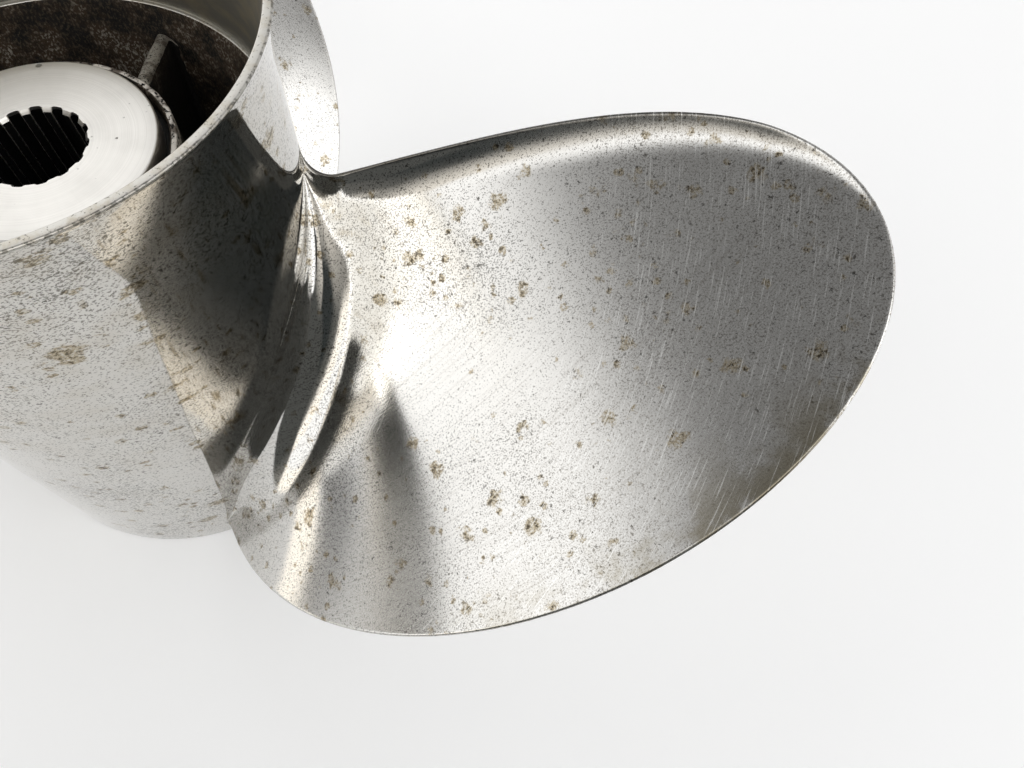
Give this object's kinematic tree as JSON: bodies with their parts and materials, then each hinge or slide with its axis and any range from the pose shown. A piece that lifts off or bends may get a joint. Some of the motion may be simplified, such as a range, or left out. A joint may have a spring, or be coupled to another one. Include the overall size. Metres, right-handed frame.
{
  "type": "outboard motor propeller",
  "caption": "Stainless steel outboard propeller with raked round blades on a flared through-hub exhaust barrel, ribbed inner hub, rubber bushing and splined sleeve.",
  "frame": {"origin": "on the shaft axis, in the plane of the barrel's forward face, which the propeller stands on", "axes": "+Z along the shaft axis towards the aft (exhaust) end; +X roughly towards the tip of blade_1"},
  "size_m": [0.3559, 0.367, 0.169],
  "materials": {
    "stainless_steel": "polished stainless steel, worn satin, with fine pits and tea stains",
    "cast_stainless_bore": "rough cast stainless steel under brown rust and soot",
    "machined_sleeve": "turned steel with fine concentric tool marks",
    "bushing_rubber": "black rubber, dull and dirty"
  },
  "bodies": {
    "root": {"outer_barrel": "stainless_steel", "inner_hub": "cast_stainless_bore", "rib_1": "cast_stainless_bore", "rib_2": "cast_stainless_bore", "rib_3": "cast_stainless_bore", "rubber_bushing": "bushing_rubber", "splined_sleeve": "machined_sleeve", "blade_1": "stainless_steel", "blade_2": "stainless_steel", "blade_3": "stainless_steel"}
  },
  "joints": []
}
